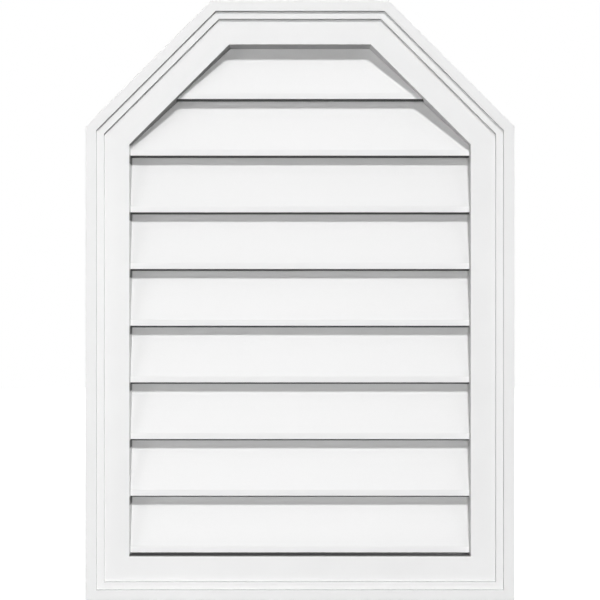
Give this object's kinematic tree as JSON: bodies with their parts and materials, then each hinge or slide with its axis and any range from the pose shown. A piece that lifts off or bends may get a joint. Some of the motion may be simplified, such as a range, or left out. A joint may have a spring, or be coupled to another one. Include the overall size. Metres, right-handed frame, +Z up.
{
  "type": "gable_vent",
  "caption": "White louvred gable vent with an octagonal top, a stepped mitred frame, sloping slats with plumb noses, and an insect screen at the back",
  "frame": {"origin": "centre of the louvred opening on the wall plane, the plane of the frame's flat back", "axes": "X across the front to the right as seen from outside, Y into the wall (the front faces -Y), Z up"},
  "size_m": [0.508, 0.0381, 0.7112],
  "materials": {
    "white_pvc": "smooth cellular PVC, satin white",
    "screen_mesh": "woven fine wire, dull grey",
    "staple_steel": "galvanised wire"
  },
  "bodies": {
    "root": {"bottom_rail": "white_pvc", "left_stile": "white_pvc", "right_stile": "white_pvc", "left_corner_rail": "white_pvc", "right_corner_rail": "white_pvc", "top_rail": "white_pvc", "louvre_slat_1": "white_pvc", "louvre_slat_2": "white_pvc", "louvre_slat_3": "white_pvc", "louvre_slat_4": "white_pvc", "louvre_slat_5": "white_pvc", "louvre_slat_6": "white_pvc", "louvre_slat_7": "white_pvc", "louvre_slat_8": "white_pvc", "louvre_slat_9": "white_pvc", "insect_screen": "screen_mesh", "screen_staples": "staple_steel"}
  },
  "joints": []
}
